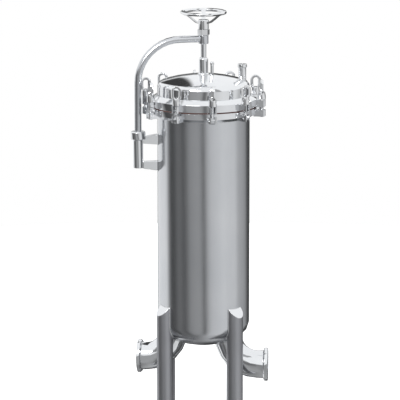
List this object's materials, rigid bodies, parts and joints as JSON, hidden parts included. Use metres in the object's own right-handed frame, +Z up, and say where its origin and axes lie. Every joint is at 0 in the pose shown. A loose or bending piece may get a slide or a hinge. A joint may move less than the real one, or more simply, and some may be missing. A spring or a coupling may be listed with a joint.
{
  "type": "cartridge filter housing",
  "caption": "Tall stainless steel water filter vessel on tube legs, its domed lid held by swing bolts with eye nuts, with a davit and handwheel that lift the lid.",
  "frame": {"origin": "middle of the footprint on the floor; the vessel's own axis stands 9 mm towards +X", "axes": "+Z up, -X towards the davit post, -Y towards the first swing bolt"},
  "size_m": [0.3814, 0.3463, 1.1576],
  "materials": {
    "satin_steel": "satin stainless steel, fine vertical sheen",
    "polished_steel": "mirror-polished stainless steel",
    "cast_steel": "polished cast stainless steel",
    "gasket_rubber": "matt red-brown silicone rubber",
    "cap_plastic": "black moulded plastic",
    "filter_media": "white melt-blown polypropylene"
  },
  "bodies": {
    "vessel": {"vessel_shell": "satin_steel", "vessel_flange": "polished_steel", "flange_gasket": "gasket_rubber", "davit_arm": "satin_steel", "davit_collar": "polished_steel", "pivot_sleeve": "polished_steel", "bracket_upper": "polished_steel", "bracket_lower": "polished_steel", "inlet_elbow": "polished_steel", "inlet_ferrule": "polished_steel", "outlet_elbow": "polished_steel", "outlet_ferrule": "polished_steel", "leg_1": "satin_steel", "foot_1": "satin_steel", "leg_2": "satin_steel", "foot_2": "satin_steel", "leg_3": "satin_steel", "foot_3": "satin_steel", "leg_4": "satin_steel", "foot_4": "satin_steel", "tube_sheet": "satin_steel", "inlet_riser": "satin_steel", "cartridge_1": "filter_media", "cartridge_2": "filter_media", "cartridge_3": "filter_media", "cartridge_4": "filter_media", "cartridge_5": "filter_media", "hold_down_plate": "satin_steel", "tie_rod": "satin_steel", "tie_rod_knob": "cap_plastic"},
    "lid": {"lid_dome": "polished_steel", "lid_flange": "polished_steel", "lid_boss": "polished_steel", "lid_spindle": "polished_steel", "vent_nipple": "polished_steel", "vent_cap": "polished_steel", "gauge_socket": "polished_steel"},
    "handwheel": {"spindle_nut": "cast_steel", "handwheel": "cast_steel"},
    "swing_bolt_1": {"swing_bolt_1": "cast_steel"},
    "eye_nut_1": {"eye_nut_1": "cast_steel"},
    "swing_bolt_2": {"swing_bolt_2": "cast_steel"},
    "eye_nut_2": {"eye_nut_2": "cast_steel"},
    "swing_bolt_3": {"swing_bolt_3": "cast_steel"},
    "eye_nut_3": {"eye_nut_3": "cast_steel"},
    "swing_bolt_4": {"swing_bolt_4": "cast_steel"},
    "eye_nut_4": {"eye_nut_4": "cast_steel"},
    "swing_bolt_5": {"swing_bolt_5": "cast_steel"},
    "eye_nut_5": {"eye_nut_5": "cast_steel"},
    "swing_bolt_6": {"swing_bolt_6": "cast_steel"},
    "eye_nut_6": {"eye_nut_6": "cast_steel"},
    "swing_bolt_7": {"swing_bolt_7": "cast_steel"},
    "eye_nut_7": {"eye_nut_7": "cast_steel"},
    "swing_bolt_8": {"swing_bolt_8": "cast_steel"},
    "eye_nut_8": {"eye_nut_8": "cast_steel"},
    "swing_bolt_9": {"swing_bolt_9": "cast_steel"},
    "eye_nut_9": {"eye_nut_9": "cast_steel"},
    "swing_bolt_10": {"swing_bolt_10": "cast_steel"},
    "eye_nut_10": {"eye_nut_10": "cast_steel"}
  },
  "joints": [
    {"name": "handwheel_turn", "type": "hinge", "parent": "vessel", "child": "handwheel", "pos_m": [0.009, 0, 1.11], "axis": [0, 0, 1], "range_deg": [0, 1260]},
    {"name": "lid_lift", "type": "slide", "parent": "vessel", "child": "lid", "axis": [0, 0, 1], "range_m": [0, 0.01401]},
    {"name": "bolt_1_swing", "type": "hinge", "parent": "vessel", "child": "swing_bolt_1", "pos_m": [0.009, -0.159, 0.881], "axis": [1, 0, 0], "range_deg": [0, 180]},
    {"name": "nut_1_travel", "type": "slide", "parent": "swing_bolt_1", "child": "eye_nut_1", "axis": [0, 0, 1], "range_m": [0, 0.01401]},
    {"name": "bolt_2_swing", "type": "hinge", "parent": "vessel", "child": "swing_bolt_2", "pos_m": [0.10246, -0.12863, 0.881], "axis": [0.809, 0.5878, 0], "range_deg": [0, 180]},
    {"name": "nut_2_travel", "type": "slide", "parent": "swing_bolt_2", "child": "eye_nut_2", "axis": [0, 0, 1], "range_m": [0, 0.01401]},
    {"name": "bolt_3_swing", "type": "hinge", "parent": "vessel", "child": "swing_bolt_3", "pos_m": [0.16022, -0.04913, 0.881], "axis": [0.309, 0.9511, 0], "range_deg": [0, 180]},
    {"name": "nut_3_travel", "type": "slide", "parent": "swing_bolt_3", "child": "eye_nut_3", "axis": [0, 0, 1], "range_m": [0, 0.01401]},
    {"name": "bolt_4_swing", "type": "hinge", "parent": "vessel", "child": "swing_bolt_4", "pos_m": [0.16022, 0.04913, 0.881], "axis": [-0.309, 0.9511, 0], "range_deg": [0, 180]},
    {"name": "nut_4_travel", "type": "slide", "parent": "swing_bolt_4", "child": "eye_nut_4", "axis": [0, 0, 1], "range_m": [0, 0.01401]},
    {"name": "bolt_5_swing", "type": "hinge", "parent": "vessel", "child": "swing_bolt_5", "pos_m": [0.10246, 0.12863, 0.881], "axis": [-0.809, 0.5878, 0], "range_deg": [0, 180]},
    {"name": "nut_5_travel", "type": "slide", "parent": "swing_bolt_5", "child": "eye_nut_5", "axis": [0, 0, 1], "range_m": [0, 0.01401]},
    {"name": "bolt_6_swing", "type": "hinge", "parent": "vessel", "child": "swing_bolt_6", "pos_m": [0.009, 0.159, 0.881], "axis": [-1, 0, 0], "range_deg": [0, 180]},
    {"name": "nut_6_travel", "type": "slide", "parent": "swing_bolt_6", "child": "eye_nut_6", "axis": [0, 0, 1], "range_m": [0, 0.01401]},
    {"name": "bolt_7_swing", "type": "hinge", "parent": "vessel", "child": "swing_bolt_7", "pos_m": [-0.08446, 0.12863, 0.881], "axis": [-0.809, -0.5878, 0], "range_deg": [0, 180]},
    {"name": "nut_7_travel", "type": "slide", "parent": "swing_bolt_7", "child": "eye_nut_7", "axis": [0, 0, 1], "range_m": [0, 0.01401]},
    {"name": "bolt_8_swing", "type": "hinge", "parent": "vessel", "child": "swing_bolt_8", "pos_m": [-0.14222, 0.04913, 0.881], "axis": [-0.309, -0.9511, 0], "range_deg": [0, 180]},
    {"name": "nut_8_travel", "type": "slide", "parent": "swing_bolt_8", "child": "eye_nut_8", "axis": [0, 0, 1], "range_m": [0, 0.01401]},
    {"name": "bolt_9_swing", "type": "hinge", "parent": "vessel", "child": "swing_bolt_9", "pos_m": [-0.14222, -0.04913, 0.881], "axis": [0.309, -0.9511, 0], "range_deg": [0, 180]},
    {"name": "nut_9_travel", "type": "slide", "parent": "swing_bolt_9", "child": "eye_nut_9", "axis": [0, 0, 1], "range_m": [0, 0.01401]},
    {"name": "bolt_10_swing", "type": "hinge", "parent": "vessel", "child": "swing_bolt_10", "pos_m": [-0.08446, -0.12863, 0.881], "axis": [0.809, -0.5878, 0], "range_deg": [0, 180]},
    {"name": "nut_10_travel", "type": "slide", "parent": "swing_bolt_10", "child": "eye_nut_10", "axis": [0, 0, 1], "range_m": [0, 0.01401]}
  ],
  "couplings": [
    {"joint": "lid_lift", "follows": "handwheel_turn", "m_per_rad": 0.00063662},
    {"joint": "nut_1_travel", "follows": "handwheel_turn", "m_per_rad": 0.00063662},
    {"joint": "nut_2_travel", "follows": "handwheel_turn", "m_per_rad": 0.00063662},
    {"joint": "nut_3_travel", "follows": "handwheel_turn", "m_per_rad": 0.00063662},
    {"joint": "nut_4_travel", "follows": "handwheel_turn", "m_per_rad": 0.00063662},
    {"joint": "nut_5_travel", "follows": "handwheel_turn", "m_per_rad": 0.00063662},
    {"joint": "nut_6_travel", "follows": "handwheel_turn", "m_per_rad": 0.00063662},
    {"joint": "nut_7_travel", "follows": "handwheel_turn", "m_per_rad": 0.00063662},
    {"joint": "nut_8_travel", "follows": "handwheel_turn", "m_per_rad": 0.00063662},
    {"joint": "nut_9_travel", "follows": "handwheel_turn", "m_per_rad": 0.00063662},
    {"joint": "nut_10_travel", "follows": "handwheel_turn", "m_per_rad": 0.00063662}
  ]
}
